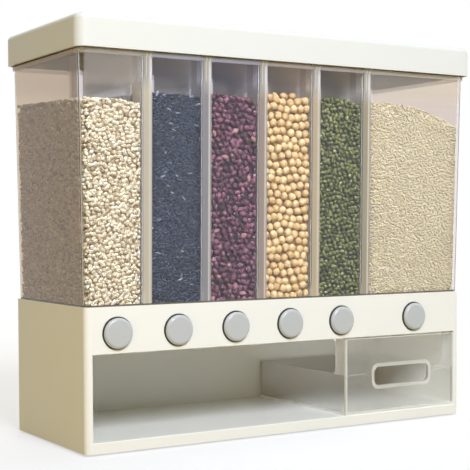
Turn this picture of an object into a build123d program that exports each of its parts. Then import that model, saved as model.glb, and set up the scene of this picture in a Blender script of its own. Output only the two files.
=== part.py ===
from build123d import *
from math import radians, tan
import os

# Wall-mounted grain dispenser: a clear tank with six grain compartments over a white base. Each compartment
# has a push button that opens its outlet, and a frosted cup on the shelf below catches the grain.
# Millimetres. X runs along the front, +Y towards the wall, +Z up. The origin is under the object's middle.

# Overall sizes of the base and the tank
base_width = 390.0
base_depth = 146.0
foot_height = 1.5
lip_height = 9.0
shelf_height = 70.0
band_height = 38.0
tank_and_lid_height = 230.0
lid_height = 26.0
lid_overhang = 8.0

# Plastic walls and general clearances
base_wall = 2.6
base_corner = 5.0
bezel_width = 6.5
opening_edge = 0.8
floor_thickness = 2.4
seat_gap = 0.1
running_gap = 0.3
cutter_overrun = 1.0
touch = 0.01

# Tank: draft on the front and sides, upright back and dividers
tank_wall = 2.4
tank_inset = 0.6
tank_back_inset = 3.4
tank_draft = 1.0
tank_corner = 7.0
pocket_corner = 5.0
divider = 5.0
divider_core = 2.2
divider_core_end = 26.0
divider_drop = 2.0
pocket_pitch = 55.5
small_pockets = 5
rim_rib_height = 3.0
rim_rib_reach = 1.6
rim_rib_drop = 1.0

# Lid and its seal
lid_wall = 2.4
lid_corner = 9.0
lid_edge = 4.0
lid_skirt_height = 9.0
lid_skirt_wall = 1.6
lid_skirt_gap = 0.8
seal_thickness = 2.0

# Inside the base: ledge for the tray, ring for the cover
ledge_width = 2.5
ledge_thickness = 2.0
ring_width = 4.0
ring_thickness = 1.5
tray_thickness = 2.0
cover_thickness = 2.0

# Funnels and outlets, measured back from the front of the base
outlet_set_back = 62.0
outlet_width = 28.0
outlet_length = 12.0
funnel_wall = 1.8
funnel_ledge = 0.5
funnel_shoulder_drop = 7.0
funnel_shoulder_inset = 4.0
funnel_back_inset = 16.0
throat_height = 3.4

# Buttons
button_height = 16.5
cap_diameter = 25.0
cap_gap = 0.65
cap_length = 18.0
cap_proud = 4.0
cap_wall = 1.6
cap_edge = 2.6
socket_wall = 2.0
socket_gap = 0.05
stem_diameter = 8.0
gate_lap = 2.0

# Gates that the buttons push, and the runners that they slide on
gate_width = 34.0
gate_thickness = 2.0
gate_tail = 6.0
gate_rise = 1.8
gate_slip = 0.05
runner_width = 3.0
guide_width = 1.8
guide_gap = 0.1
guide_tail = 4.0
riser_thickness = 2.0
riser_width = 20.0
riser_above = 7.0
collar_wall = 1.6

# Return springs
spring_length = 22.0
spring_diameter = 8.0
spring_wire = 0.8
spring_turns = 7
spring_rib_thickness = 2.0
spring_rib_width = 14.0
spring_nub_length = 2.0
spring_nub_gap = 0.5

# Screws that clamp cover, tray and tank together
screw_diameter = 2.9
screw_gap = 0.1
screw_head_diameter = 6.0
screw_head_height = 1.6
screw_bite = 10.0
screw_slot = 0.9
screw_slot_length = 4.0
screw_boss_diameter = 7.0
screw_set_back = 12.0

# Cup that stands on the shelf
cup_width = 128.0
cup_depth = 141.0
cup_wall = 2.0
cup_low_height = 36.0
cup_return = 15.0
cup_return_round = 6.0
cup_top_gap = 1.2
cup_side_gap = 0.5
slot_width = 64.0
slot_height = 17.0
slot_corner = 5.0
slot_rise = 25.0
slot_rim = 3.2
slot_rim_proud = 1.0

# Feet and wall screws
foot_diameter = 12.0
foot_recess = 1.0
foot_boss_wall = 2.0
foot_inset = 16.0
wall_hole_diameter = 5.0
wall_hole_spacing = 310.0
wall_hole_rise = 53.0

# Grain in each compartment: name, then its height above the base at the left, the middle and the right
fills = [
    ("grain_pearl_barley", 166.5, 166.5, 167.5),
    ("grain_black_rice", 173.0, 173.0, 175.0),
    ("grain_red_beans", 175.0, 175.0, 175.0),
    ("grain_soybeans", 177.0, 178.5, 178.5),
    ("grain_mung_beans", 176.0, 178.0, 175.0),
    ("grain_white_rice", 178.0, 174.0, 159.0),
]
fill_gap = 0.3

# Levels and faces that follow from the sizes above
base_bottom = foot_height
floor_top = base_bottom + lip_height
ceiling = floor_top + shelf_height
base_top = ceiling + band_height
lid_top = base_top + tank_and_lid_height
lid_bottom = lid_top - lid_height
lid_ceiling = lid_top - lid_wall
tank_top = lid_ceiling - seal_thickness - seat_gap
divider_top = lid_ceiling - lid_skirt_height - divider_drop
left = -base_width / 2
right = base_width / 2
wall_plane = (base_depth + lid_overhang) / 2
front = wall_plane - base_depth
inner_left = left + base_wall
inner_right = right - base_wall
inner_front = front + base_wall
inner_back = wall_plane - base_wall
tank_back = wall_plane - tank_back_inset
pocket_back = tank_back - tank_wall
lean = tan(radians(tank_draft))
cover_top = ceiling + cover_thickness
ring_top = cover_top + ring_thickness
tray_bottom = base_top - tray_thickness
gate_bottom = cover_top + gate_rise
gate_top = gate_bottom + gate_thickness
runner_top = gate_bottom - gate_slip
throat_bottom = gate_top + running_gap
throat_top = throat_bottom + throat_height
shoulder = base_top - funnel_shoulder_drop
button_axis = ceiling + button_height
travel = outlet_length + gate_lap
cap_front = front - cap_proud
cap_back = cap_front + cap_length
riser_front = cap_back + running_gap
riser_back = riser_front + riser_thickness
spring_seat = riser_back + spring_length
shoulder_front = cap_back + travel + funnel_shoulder_inset
outlet_front = front + outlet_set_back - outlet_length / 2
outlet_back = outlet_front + outlet_length
gate_end = outlet_back + gate_tail
cup_right = right - bezel_width - cup_side_gap
cup_left = cup_right - cup_width
cup_front = front + seat_gap
cup_back = cup_front + cup_depth
cup_bottom = floor_top + seat_gap
cup_top = ceiling - cup_top_gap
mouth_margin = ledge_width + seat_gap + funnel_wall
mouth_front = inner_front + mouth_margin
mouth_back = inner_back - mouth_margin
screw_front = front + screw_set_back
screw_rear = wall_plane - screw_set_back
pocket_count = small_pockets + 1


def outline(x0, x1, y0, y1, z, corner=0.0):
    """A rectangle from corner to corner at height z, with rounded corners if asked."""
    width, depth = x1 - x0, y1 - y0
    shape = RectangleRounded(width, depth, corner) if corner else Rectangle(width, depth)
    return Pos((x0 + x1) / 2, (y0 + y1) / 2, z) * shape


def block(x0, x1, y0, y1, z0, z1, corner=0.0):
    """An upright block with rounded vertical edges if asked."""
    return extrude(outline(x0, x1, y0, y1, z0, corner), z1 - z0)


def rod_y(x, z, y0, y1, diameter):
    """A round bar along Y."""
    return Pos(x, (y0 + y1) / 2, z) * Rot(90, 0, 0) * Cylinder(diameter / 2, y1 - y0)


def rod_z(x, y, z0, z1, diameter):
    """A round bar along Z."""
    return Pos(x, y, (z0 + z1) / 2) * Cylinder(diameter / 2, z1 - z0)


def tank_lean(z):
    """How far the tank's front and sides have spread at height z."""
    return (z - base_top) * lean


def tank_outline(z, inset=0.0):
    """The tank's outer outline at height z, drawn in by the inset on every side."""
    spread = tank_lean(z) - tank_inset - inset
    return outline(left - spread, right + spread, front - spread, tank_back - inset, z, tank_corner - inset)


def tank_form(z0, z1, inset=0.0):
    """The tank's outer form between two heights."""
    return loft([tank_outline(z0, inset), tank_outline(z1, inset)], ruled=True)


def pocket_sides(index, z):
    """Left and right faces of a compartment at height z: only the tank's own sides lean."""
    x0 = left + tank_inset + tank_wall + index * pocket_pitch
    x1 = x0 + pocket_pitch - divider
    if index == 0:
        x0 -= tank_lean(z)
    if index == small_pockets:
        x1 = right - tank_inset - tank_wall + tank_lean(z)
    return x0, x1


def pocket_middle(index):
    """Middle of a compartment along X, where its button and outlet are."""
    x0, x1 = pocket_sides(index, base_top)
    return (x0 + x1) / 2


def divider_middle(index):
    """Middle of the divider to the right of a compartment."""
    return pocket_sides(index, base_top)[1] + divider / 2


def pocket_outline(index, z, inset):
    """One compartment's outline at height z."""
    x0, x1 = pocket_sides(index, z)
    y0 = front + tank_inset + tank_wall - tank_lean(z)
    return outline(x0 + inset, x1 - inset, y0 + inset, pocket_back - inset, z, pocket_corner - inset)


def pocket_form(index, z0, z1, inset=0.0):
    """The space of one compartment between two heights."""
    return loft([pocket_outline(index, z0, inset), pocket_outline(index, z1, inset)], ruled=True)


def mouth_sides(index):
    """Left and right edges of a funnel's mouth. The outermost stay clear of the tray's ledge."""
    x0, x1 = pocket_sides(index, base_top)
    x0 = inner_left + mouth_margin if index == 0 else x0 + funnel_ledge
    x1 = inner_right - mouth_margin if index == small_pockets else x1 - funnel_ledge
    return x0, x1


def funnel_form(index, inset=0.0, drop=0.0):
    """The space inside one funnel: a shallow shoulder over the button, a hopper and a straight throat.
    The inset draws its sides in and the drop lowers its slopes."""
    x0, x1 = mouth_sides(index)
    y0, y1 = mouth_front + inset, mouth_back - inset
    middle = pocket_middle(index)
    waist = funnel_shoulder_inset + inset
    half = outlet_width / 2 - inset
    throat = (middle - half, middle + half, outlet_front + inset, outlet_back - inset)
    waist_front = shoulder_front + inset
    waist_back = y1 - funnel_back_inset
    mouth = outline(x0 + inset, x1 - inset, y0, y1, base_top - drop)
    waist_line = outline(x0 + waist, x1 - waist, waist_front, waist_back, shoulder - drop)
    hopper = loft([mouth, waist_line], ruled=True)
    hopper += loft([waist_line, outline(*throat, throat_top - drop)], ruled=True)
    return hopper + block(*throat, throat_bottom, throat_top - drop)


def make_housing():
    """White base: shelf floor with its lip, sides, back, front band, and the ledges inside the band."""
    shell = block(left, right, front, wall_plane, base_bottom, base_top, base_corner)
    inner = (inner_left, inner_right, inner_front, inner_back)
    inner_corner = base_corner - base_wall
    shell -= block(*inner, floor_top, cover_top, inner_corner)
    shell -= block(*inner, tray_bottom, base_top, inner_corner)
    ledge = (inner_left + ledge_width, inner_right - ledge_width, inner_front + ledge_width,
             inner_back - ledge_width)
    shell -= block(*ledge, tray_bottom - ledge_thickness, tray_bottom)
    shell -= block(*inner, ring_top, tray_bottom - ledge_thickness, inner_corner)
    ring = (inner_left + ring_width, inner_right - ring_width, inner_front + ring_width,
            inner_back - ring_width)
    shell -= block(*ring, cover_top, ring_top)
    shell -= shelf_opening()
    shell -= block(*inner, base_bottom, floor_top - floor_thickness, inner_corner)
    for x, y in foot_places():
        boss = rod_z(x, y, base_bottom, floor_top - floor_thickness, foot_diameter + 2 * foot_boss_wall)
        shell += boss - rod_z(x, y, base_bottom, base_bottom + foot_recess, foot_diameter)
    for index in range(pocket_count):
        middle = pocket_middle(index)
        shell -= rod_y(middle, button_axis, front - cutter_overrun, inner_front + cutter_overrun,
                       cap_diameter + 2 * cap_gap)
    for side in (-1, 1):
        shell -= rod_y(side * wall_hole_spacing / 2, floor_top + wall_hole_rise, inner_back - cutter_overrun,
                       wall_plane + cutter_overrun, wall_hole_diameter)
    return soften_front(shell)


def shelf_opening():
    """The shelf's mouth in the front face."""
    x0, x1 = left + bezel_width, right - bezel_width
    return block(x0, x1, front - cutter_overrun, inner_front, floor_top, ceiling)


def soften_front(shell):
    """Rounds the front edges of the shelf's mouth and of the button holes."""
    edges = shell.edges().filter_by(lambda edge: abs(edge.center().Y - front) < touch)
    holes = edges.filter_by(GeomType.CIRCLE)
    mouth = edges.filter_by(GeomType.LINE).filter_by(on_mouth)
    return fillet(holes + mouth, opening_edge)


def on_mouth(edge):
    """Whether an edge of the front face bounds the shelf's mouth."""
    middle = edge.center()
    mouth_right = right - bezel_width
    upright = abs(abs(middle.X) - mouth_right) < touch and floor_top < middle.Z < ceiling
    off_level = min(abs(middle.Z - floor_top), abs(middle.Z - ceiling))
    level = abs(middle.X) < mouth_right and off_level < touch
    return upright or level


def foot_places():
    """Middles of the four feet."""
    xs = (left + foot_inset, right - foot_inset)
    ys = (front + foot_inset, wall_plane - foot_inset)
    return [(x, y) for x in xs for y in ys]


def make_feet():
    """Four round rubber feet set into the bosses under the base."""
    return [rod_z(x, y, 0, base_bottom + foot_recess, foot_diameter) for x, y in foot_places()]


def make_tank():
    """Clear tank, open at the top and at the bottom, with five double dividers and a stiffening rib."""
    body = tank_form(base_top, tank_top)
    rib_top = lid_bottom - rim_rib_drop
    body += tank_form(rib_top - rim_rib_height, rib_top, -rim_rib_reach) - behind_tank()
    body -= tank_form(divider_top, tank_top, tank_wall)
    for index in range(pocket_count):
        body -= pocket_form(index, base_top, divider_top)
    for index in range(small_pockets):
        x = divider_middle(index)
        body -= block(x - divider_core / 2, x + divider_core / 2, front + divider_core_end,
                      wall_plane - divider_core_end, base_top, divider_top - tank_wall)
        for y in (screw_front, screw_rear):
            body -= rod_z(x, y, base_top, base_top + screw_bite + screw_gap, screw_diameter + 2 * screw_gap)
    return body


def behind_tank():
    """The space behind the tank's back face, where its rib stops."""
    return block(left * 2, right * 2, tank_back, wall_plane * 2, base_top, lid_top)


def make_tray():
    """White tray that carries the tank: six funnels, the screw bosses and the ribs that seat the springs."""
    gap = seat_gap
    tray = block(inner_left + gap, inner_right - gap, inner_front + gap, inner_back - gap,
                 tray_bottom, base_top, base_corner - base_wall - gap)
    half_rib = spring_rib_width / 2
    nub_diameter = spring_diameter - 2 * spring_wire - 2 * spring_nub_gap
    for index in range(pocket_count):
        middle = pocket_middle(index)
        tray += funnel_form(index, -funnel_wall, funnel_wall)
        tray += block(middle - half_rib, middle + half_rib, spring_seat, spring_seat + spring_rib_thickness,
                      throat_bottom, shoulder)
        tray += rod_y(middle, button_axis, spring_seat - spring_nub_length, spring_seat, nub_diameter)
    for index in range(small_pockets):
        for y in (screw_front, screw_rear):
            tray += rod_z(divider_middle(index), y, cover_top, tray_bottom, screw_boss_diameter)
    for index in range(pocket_count):
        tray -= funnel_form(index)
    for index in range(small_pockets):
        for y in (screw_front, screw_rear):
            tray -= rod_z(divider_middle(index), y, cover_top, base_top, screw_diameter + 2 * screw_gap)
    return tray


def make_cover():
    """White cover under the works, the shelf's ceiling, with outlets and the gates' runners and guides."""
    gap = running_gap
    cover = block(inner_left + gap, inner_right - gap, inner_front + gap, inner_back - gap,
                  ceiling, cover_top, base_corner - base_wall)
    start = riser_front
    stop = gate_end + travel + guide_tail
    half_hole = outlet_width / 2
    guide_near = gate_width / 2 + guide_gap
    for index in range(pocket_count):
        middle = pocket_middle(index)
        for side in (-1, 1):
            runner = sorted((middle + side * half_hole, middle + side * (half_hole + runner_width)))
            cover += block(*runner, start, stop, cover_top, runner_top)
            guide = sorted((middle + side * guide_near, middle + side * (guide_near + guide_width)))
            cover += block(*guide, start, stop, cover_top, gate_top)
        hole = (middle - half_hole, middle + half_hole)
        cover += block(*hole, outlet_front - collar_wall, outlet_back + collar_wall, cover_top, runner_top)
        cover -= block(*hole, outlet_front, outlet_back, ceiling, runner_top)
    for index in range(small_pockets):
        for y in (screw_front, screw_rear):
            cover -= rod_z(divider_middle(index), y, ceiling, cover_top, screw_diameter + 2 * screw_gap)
    return cover


def make_screws():
    """Ten pan-head screws from under the cover, through the tray's bosses into the tank's dividers."""
    screws = []
    for index in range(small_pockets):
        for y in (screw_front, screw_rear):
            x = divider_middle(index)
            screw = rod_z(x, y, ceiling - screw_head_height, ceiling, screw_head_diameter)
            screw += rod_z(x, y, ceiling, base_top + screw_bite, screw_diameter)
            reach = screw_slot_length / 2
            bottom = ceiling - screw_head_height
            for along, across in ((reach, screw_slot / 2), (screw_slot / 2, reach)):
                screw -= block(x - along, x + along, y - across, y + across, bottom, bottom + screw_slot)
            screws.append(screw)
    return screws


def make_cap(index):
    """Light grey button cap: a round cup, open at the back, with a socket for the gate's stem."""
    x = pocket_middle(index)
    cap = rod_y(x, button_axis, cap_front, cap_back, cap_diameter)
    rim = cap.edges().filter_by(GeomType.CIRCLE).sort_by(Axis.Y)[0]
    cap = fillet(rim, cap_edge)
    cap -= rod_y(x, button_axis, cap_front + cap_wall, cap_back, cap_diameter - 2 * cap_wall)
    bore = stem_diameter + 2 * socket_gap
    socket_back = cap_back - cap_wall
    cap += rod_y(x, button_axis, cap_front + cap_wall, socket_back, bore + 2 * socket_wall)
    return cap - rod_y(x, button_axis, front, socket_back, bore)


def make_gate(index):
    """White gate: a flat plate with a window, and the riser and stem that the cap pushes."""
    x = pocket_middle(index)
    half = gate_width / 2
    gate = block(x - half, x + half, riser_front, gate_end, gate_bottom, gate_top)
    gate -= block(x - outlet_width / 2, x + outlet_width / 2, outlet_front - travel, outlet_back - travel,
                  gate_bottom, gate_top)
    gate += block(x - riser_width / 2, x + riser_width / 2, riser_front, riser_back, gate_top,
                  button_axis + riser_above)
    return gate + rod_y(x, button_axis, front + seat_gap, riser_front, stem_diameter)


def make_spring(index):
    """Steel return spring between the gate's riser and the tray's rib."""
    length = spring_length - spring_wire - 2 * seat_gap
    radius = (spring_diameter - spring_wire) / 2
    path = Helix(pitch=length / spring_turns, height=length, radius=radius)
    section = Plane(origin=path @ 0, z_dir=path % 0) * Circle(spring_wire / 2)
    coil = sweep(section, path=path)
    start = riser_back + seat_gap + spring_wire / 2
    return Pos(pocket_middle(index), start, button_axis) * Rot(-90, 0, 0) * coil


def make_lid():
    """White lift-off lid: a rounded cover, hollow below, with an inner skirt that fits inside the tank."""
    x0, x1 = left - lid_overhang, right + lid_overhang
    y0, y1 = front - lid_overhang, wall_plane
    outer = block(x0, x1, y0, y1, lid_bottom, lid_top, lid_corner)
    top = outer.faces().sort_by(Axis.Z)[-1]
    outer = fillet(top.edges(), lid_edge)
    wall = lid_wall
    lid = outer - block(x0 + wall, x1 - wall, y0 + wall, y1 - wall, lid_bottom, lid_ceiling,
                        lid_corner - wall)
    skirt_inset = tank_wall + lid_skirt_gap
    skirt_bottom = lid_ceiling - lid_skirt_height
    skirt = tank_form(skirt_bottom, lid_ceiling, skirt_inset)
    skirt -= tank_form(skirt_bottom, lid_ceiling, skirt_inset + lid_skirt_wall)
    return lid + skirt


def make_seal():
    """Grey silicone ring in the lid that presses on the tank's rim."""
    ring = extrude(tank_outline(tank_top + seat_gap), seal_thickness)
    return ring - extrude(tank_outline(tank_top + seat_gap, tank_wall), seal_thickness)


def cup_side_profile():
    """Side of the cup seen along X: full height at the front, then a rounded step down to the low wall."""
    low = cup_bottom + cup_low_height
    step = cup_front + cup_return
    side = Polyline(
        (cup_front, cup_bottom),
        (cup_back, cup_bottom),
        (cup_back, low),
        (step, low),
        (step, cup_top),
        (cup_front, cup_top),
        close=True,
    )
    inside_corner = side.vertices().sort_by_distance((step, low))[0]
    return make_face(fillet(inside_corner, cup_return_round))


def make_cup():
    """Frosted cup: a tall front with a handle slot, short returns, and a low box behind."""
    body = Pos(cup_left, 0, 0) * extrude(Plane.YZ * cup_side_profile(), cup_width)
    wall = cup_wall
    body -= block(cup_left + wall, cup_right - wall, cup_front + wall, cup_back - wall, cup_bottom + wall,
                  cup_top + cutter_overrun)
    middle = (cup_left + cup_right) / 2
    height = cup_bottom + slot_rise + slot_height / 2
    face_plane = Plane(origin=(middle, cup_front, height), x_dir=(1, 0, 0), z_dir=(0, -1, 0))
    rim = RectangleRounded(slot_width + 2 * slot_rim, slot_height + 2 * slot_rim, slot_corner + slot_rim)
    body += extrude(face_plane * rim, slot_rim_proud)
    hole = RectangleRounded(slot_width, slot_height, slot_corner)
    return body - extrude(face_plane * hole, slot_rim_proud + wall, both=True)


def fill_profile(index, levels):
    """The heap seen along Y: from the outlet up to the grain's uneven top."""
    x0, x1 = pocket_sides(index, lid_top)
    reach = divider
    at_left, at_middle, at_right = levels
    return Polyline(
        (x0 - reach, 0),
        (x1 + reach, 0),
        (x1 + reach, base_top + at_right),
        ((x0 + x1) / 2, base_top + at_middle),
        (x0 - reach, base_top + at_left),
        close=True,
    )


def make_fill(index, levels):
    """The grain in one compartment, down through its funnel to the gate."""
    highest = base_top + max(levels)
    in_funnel = funnel_form(index, fill_gap, -fill_gap) & block(left, right, front, wall_plane, 0, base_top)
    grain = pocket_form(index, base_top, highest, fill_gap) + in_funnel
    face = make_face(Plane.XZ * fill_profile(index, levels))
    heap = Pos(0, 2 * wall_plane, 0) * extrude(face, 4 * wall_plane)
    return grain & heap


def save(node, shape):
    """Writes one node, made of one solid or of several alike."""
    solids = shape if isinstance(shape, list) else [shape]
    solids = [solid for item in solids for solid in item.solids()]
    whole = solids[0] if len(solids) == 1 else Compound(children=solids)
    whole.label = node
    export_step(whole, f"parts/{node}.step")


os.makedirs("parts", exist_ok=True)
save("housing", make_housing())
save("rubber_feet", make_feet())
save("tank", make_tank())
save("funnel_tray", make_tray())
save("gate_cover", make_cover())
save("clamp_screws", make_screws())
save("lid", make_lid())
save("lid_seal", make_seal())
save("cup", make_cup())
for place in range(pocket_count):
    save(f"button_cap_{place + 1}", make_cap(place))
    save(f"gate_{place + 1}", make_gate(place))
    save(f"return_spring_{place + 1}", make_spring(place))
    name, *fill_levels = fills[place]
    save(name, make_fill(place, fill_levels))
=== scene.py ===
import math
import bpy
import numpy as np
from mathutils import Matrix, Vector


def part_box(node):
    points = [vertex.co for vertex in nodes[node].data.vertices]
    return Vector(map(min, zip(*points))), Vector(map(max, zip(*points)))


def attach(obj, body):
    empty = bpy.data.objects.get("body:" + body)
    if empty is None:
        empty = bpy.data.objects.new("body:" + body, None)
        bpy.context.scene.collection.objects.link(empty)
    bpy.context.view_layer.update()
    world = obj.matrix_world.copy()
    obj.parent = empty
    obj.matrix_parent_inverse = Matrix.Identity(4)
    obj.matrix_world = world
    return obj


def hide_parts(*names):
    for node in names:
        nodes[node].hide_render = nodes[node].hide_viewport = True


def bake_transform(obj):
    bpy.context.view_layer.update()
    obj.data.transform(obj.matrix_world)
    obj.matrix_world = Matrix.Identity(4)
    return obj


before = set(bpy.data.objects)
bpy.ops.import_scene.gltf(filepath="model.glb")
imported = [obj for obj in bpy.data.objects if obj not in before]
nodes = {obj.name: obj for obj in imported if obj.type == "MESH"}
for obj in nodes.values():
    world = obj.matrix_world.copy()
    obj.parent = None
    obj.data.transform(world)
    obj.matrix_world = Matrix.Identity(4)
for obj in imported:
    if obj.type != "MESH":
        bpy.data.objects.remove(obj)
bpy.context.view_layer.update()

# Housing: the white base that hangs on the wall, with the shelf, its lip and the band of buttons.
# One injection moulding in warm ivory ABS with a fine satin skin. Two screws through its back hold it.

ivory = (0.900, 0.895, 0.840, 1)
ivory_roughness = 0.38
cloud_scale, wave_scale = 18.0, 45.0
noise_low, noise_high = 0.3, 0.7
skin_depth = 0.00006


def new_finish(name):
    """A finish to be filled in, with its node tree, its shader and the place on the piece."""
    finish = bpy.data.materials.new(name)
    finish.use_nodes = True
    tree = finish.node_tree
    return finish, tree, tree.nodes["Principled BSDF"], tree.nodes.new("ShaderNodeTexCoord").outputs["Object"]


def feed(tree, socket, value):
    """Gives a socket its value: what another socket says, or a written number or colour."""
    if isinstance(value, bpy.types.NodeSocket):
        tree.links.new(value, socket)
    else:
        socket.default_value = value


def noise(tree, place, scale, detail):
    """Cloudy noise over the piece, most of it between noise_low and noise_high."""
    texture = tree.nodes.new("ShaderNodeTexNoise")
    texture.inputs["Scale"].default_value = scale
    texture.inputs["Detail"].default_value = detail
    tree.links.new(place, texture.inputs["Vector"])
    return texture.outputs["Fac"]


def ramp(tree, value, start, end, high=1.0, low=0.0):
    """The lowest before the start, the highest past the end, evenly between; the end may be the lesser."""
    stretch = tree.nodes.new("ShaderNodeMapRange")
    for name, number in (("From Min", start), ("From Max", end), ("To Min", low), ("To Max", high)):
        stretch.inputs[name].default_value = number
    tree.links.new(value, stretch.inputs["Value"])
    return stretch.outputs["Result"]


def blended(tree, share, first, second, way="MIX"):
    """A colour between two others, or one multiplied by the other, each a socket or a written colour."""
    mix = tree.nodes.new("ShaderNodeMix")
    mix.data_type = "RGBA"
    mix.blend_type = way
    for name, value in (("Factor", share), ("A", first), ("B", second)):
        feed(tree, mix.inputs[name], value)
    return mix.outputs["Result"]


def roughen(tree, shader, height, strength, depth, sunk=False):
    """A fine relief in the skin, raised where the height is great, or sunk there."""
    bump = tree.nodes.new("ShaderNodeBump")
    bump.inputs["Strength"].default_value = strength
    bump.inputs["Distance"].default_value = depth
    bump.invert = sunk
    tree.links.new(height, bump.inputs["Height"])
    tree.links.new(bump.outputs["Normal"], shader.inputs["Normal"])


def moulded_plastic(name, colour, roughness, cloud=0.03, skin=0.10, skin_grain=700.0, gloss_spread=0.04):
    """Moulded plastic: faint clouds in its colour, a fine grain eroded in its skin, slow waves of gloss."""
    finish, tree, shader, place = new_finish(name)
    clouded = tuple(c * (1 - cloud) for c in colour[:3]) + (1,)
    tint = blended(tree, noise(tree, place, cloud_scale, 3.0), colour, clouded)
    tree.links.new(tint, shader.inputs["Base Color"])
    gloss = ramp(tree, noise(tree, place, wave_scale, 2.0), noise_low, noise_high,
                 roughness + gloss_spread, roughness - gloss_spread)
    tree.links.new(gloss, shader.inputs["Roughness"])
    roughen(tree, shader, noise(tree, place, skin_grain, 2.0), skin, skin_depth)
    return finish


def dress(node, finish):
    """Gives a piece of the frame its finish."""
    for holder in nodes[node].material_slots:
        holder.material = finish


ivory_plastic = moulded_plastic("ivory_plastic", ivory, ivory_roughness)
dress("housing", ivory_plastic)

# Feet: four round pads of black rubber, pressed into the bosses under the base.
# They keep the base off the worktop when it stands instead of hanging.

foot_rubber = moulded_plastic("foot_rubber", (0.030, 0.029, 0.028, 1), 0.75, cloud=0.3, skin=0.5,
                              skin_grain=500.0)
dress("rubber_feet", foot_rubber)

# Gate cover, gates and funnel tray: the works inside the band, moulded in plain white polypropylene.
# Ten screws clamp the cover and the tray to the tank, and each gate slides on runners on the cover.

inner_plastic = moulded_plastic("inner_plastic", (0.84, 0.835, 0.80, 1), 0.48, cloud=0.04, skin=0.2)
dress("gate_cover", inner_plastic)
dress("funnel_tray", inner_plastic)
buttons = range(1, 7)
for number in buttons:
    dress(f"gate_{number}", inner_plastic)

# Screws: pan-head screws in zinc-plated steel, driven up through the cover and the tray into the tank.
# Their heads carry the fine marks that turning leaves.

steel_lines = 1600.0
steel_shade = 0.7
gloss_fall, gloss_rise = 0.08, 0.12


def turned_steel(name, colour, roughness):
    """Metal with the fine marks of turning or drawing: a very fine noise drives its colour and its gloss."""
    finish, tree, shader, place = new_finish(name)
    shader.inputs["Metallic"].default_value = 1.0
    marks = noise(tree, place, steel_lines, 4.0)
    shaded = tuple(c * steel_shade for c in colour[:3]) + (1,)
    tree.links.new(blended(tree, marks, colour, shaded), shader.inputs["Base Color"])
    gloss = ramp(tree, marks, 0.0, 1.0, roughness + gloss_rise, roughness - gloss_fall)
    tree.links.new(gloss, shader.inputs["Roughness"])
    return finish


screw_steel = turned_steel("screw_steel", (0.60, 0.60, 0.58, 1), 0.32)
dress("clamp_screws", screw_steel)

# Return springs: one coil of drawn spring steel behind each button, between the gate's riser and a rib
# of the tray. The coil is wound closer at both ends. The real spring shortens as its button is pressed; this
# coil stays at its rest length.

spring_wire = 0.0008
spring_turns = 7
wire_sides = 10
steps_per_turn = 24
end_closeness = 0.55


def mesh_piece(name, points, faces, finishes, finish_of_face=None, smooth=True):
    """A new piece from arrays of points and of faces with as many corners each."""
    mesh = bpy.data.meshes.new(name)
    corners = faces.shape[1]
    mesh.vertices.add(len(points))
    mesh.vertices.foreach_set("co", np.ascontiguousarray(points, np.float32).ravel())
    mesh.loops.add(faces.size)
    mesh.loops.foreach_set("vertex_index", np.ascontiguousarray(faces, np.int32).ravel())
    mesh.polygons.add(len(faces))
    mesh.polygons.foreach_set("loop_start", np.arange(0, faces.size, corners, dtype=np.int32))
    mesh.polygons.foreach_set("use_smooth", np.full(len(faces), smooth))
    for finish in finishes:
        mesh.materials.append(finish)
    if finish_of_face is not None:
        mesh.polygons.foreach_set("material_index", finish_of_face.astype(np.int32))
    mesh.update(calc_edges=True)
    piece = bpy.data.objects.new(name, mesh)
    bpy.context.scene.collection.objects.link(piece)
    return piece


def grid_faces(rows, columns):
    """Triangles between neighbouring rows of a grid of points whose rows close into rings."""
    row = np.arange(rows - 1)[:, None] * columns
    here = np.arange(columns)[None, :]
    after = (here + 1) % columns
    a, b, c, d = row + here, row + after, row + columns + after, row + columns + here
    return np.concatenate([np.stack([a, b, c], -1).reshape(-1, 3), np.stack([a, c, d], -1).reshape(-1, 3)])


def cap_faces(first, columns, outward):
    """A fan of triangles that closes a ring of points."""
    fan = np.arange(1, columns - 1)
    start = np.full_like(fan, first)
    sides = (first + fan, first + fan + 1) if outward else (first + fan + 1, first + fan)
    return np.stack([start, *sides], -1)


def coil(middle_x, middle_z, start_y, end_y, radius):
    """The wire's middle winds round the button's axis while it moves back at a rate that eases at both ends;
    a circle square to that path is carried along it."""
    t = np.linspace(0, 1, spring_turns * steps_per_turn + 1)
    turn = 2 * math.pi * spring_turns * t
    eased = t - end_closeness * np.sin(2 * math.pi * t) / (2 * math.pi)
    along = start_y + (end_y - start_y) * eased
    path = np.stack([middle_x + radius * np.cos(turn), along, middle_z + radius * np.sin(turn)], -1)
    tangent = np.gradient(path, axis=0)
    tangent /= np.linalg.norm(tangent, axis=1, keepdims=True)
    outward = np.stack([np.cos(turn), np.zeros_like(turn), np.sin(turn)], -1)
    side = np.cross(tangent, outward)
    around = np.linspace(0, 2 * math.pi, wire_sides, endpoint=False)[None, :, None]
    ring = np.cos(around) * outward[:, None] + np.sin(around) * side[:, None]
    points = (path[:, None] + ring * spring_wire / 2).reshape(-1, 3)
    faces = grid_faces(len(t), wire_sides)
    ends = [cap_faces(0, wire_sides, False), cap_faces((len(t) - 1) * wire_sides, wire_sides, True)]
    return points, np.concatenate([faces, *ends])


spring_steel = turned_steel("spring_steel", (0.55, 0.56, 0.58, 1), 0.26)
for number in buttons:
    low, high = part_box(f"return_spring_{number}")
    middle = (low + high) / 2
    radius = (high.z - low.z - spring_wire) / 2
    points, faces = coil(middle.x, middle.z, low.y + spring_wire / 2, high.y - spring_wire / 2, radius)
    spring = mesh_piece(f"spring_coil_{number}", points, faces, [spring_steel])
    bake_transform(spring)
    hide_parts(f"return_spring_{number}")

# Button caps: round cups of light grey ABS with a rounded rim, a little glossier than the base.
# Each is pushed onto its gate's stem and travels 14 mm into the band.
# Where it enters its hole it is painted dark grey, a painted shade for the gap round it.

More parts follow.
